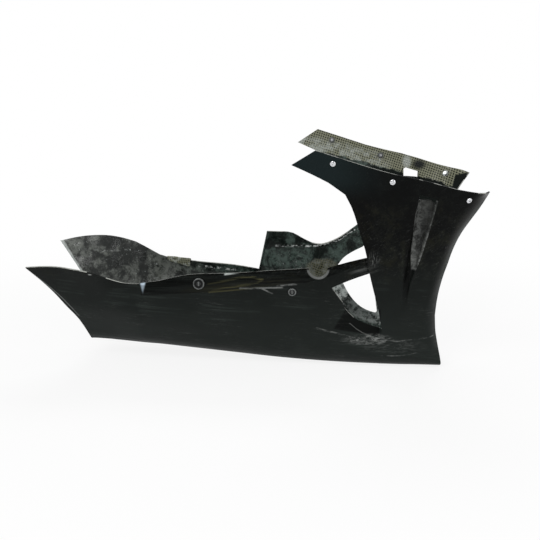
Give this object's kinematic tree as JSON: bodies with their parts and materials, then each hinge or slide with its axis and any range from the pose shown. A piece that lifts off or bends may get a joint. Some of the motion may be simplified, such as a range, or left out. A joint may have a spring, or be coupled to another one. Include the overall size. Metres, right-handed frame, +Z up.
{
  "type": "motorcycle belly pan",
  "caption": "One-piece moulded motorcycle belly pan: open tub, side openings, flared side panels with air scoops and screwed top flanges.",
  "frame": {"origin": "centre of the bounding box at the floor, under the pan", "axes": "+X forward along the motorcycle, +Y to the motorcycle's left, +Z up"},
  "size_m": [0.998, 0.4137, 0.5136],
  "materials": {
    "laminate": "worn gloss",
    "screw_steel": "bright",
    "washer_steel": "satin",
    "cup_alloy": "dull"
  },
  "bodies": {
    "root": {"shell": "laminate", "flange_screws": "screw_steel", "flange_washers": "washer_steel", "flange_nuts": "washer_steel", "cup_washers": "cup_alloy", "side_screws": "washer_steel", "side_washers": "washer_steel", "side_nuts": "washer_steel"}
  },
  "joints": []
}
